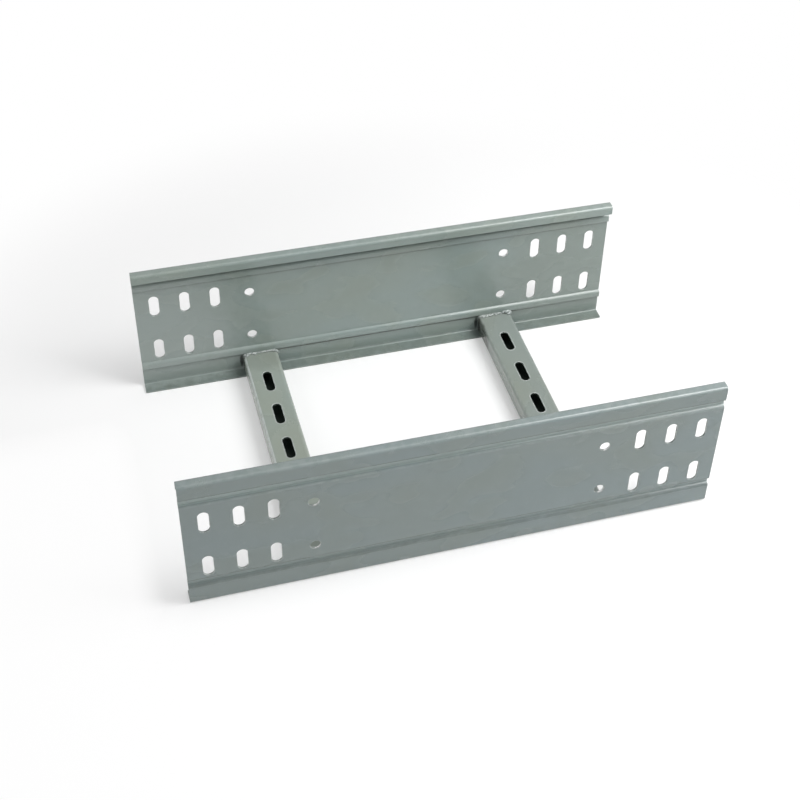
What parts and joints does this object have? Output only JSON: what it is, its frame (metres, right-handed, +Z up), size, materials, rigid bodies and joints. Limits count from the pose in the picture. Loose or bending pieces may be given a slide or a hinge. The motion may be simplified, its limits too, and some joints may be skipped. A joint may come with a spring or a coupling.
{
  "type": "cable ladder section",
  "caption": "Short section of welded cable ladder: roll-formed side rails with pressed ribs, slotted ends and slotted tube rungs.",
  "frame": {"origin": "centre of the ladder's footprint, on the floor it stands on", "axes": "+X along the side rails, +Y across the ladder from the front rail to the back rail, +Z up"},
  "size_m": [0.5, 0.3, 0.148],
  "materials": {
    "rail_paint": "satin grey-green paint on rolled steel sheet",
    "rung_paint": "satin grey-green paint on steel tube"
  },
  "bodies": {
    "root": {"side_rail_front": "rail_paint", "side_rail_back": "rail_paint", "rung_left": "rung_paint", "rung_right": "rung_paint"}
  },
  "joints": []
}
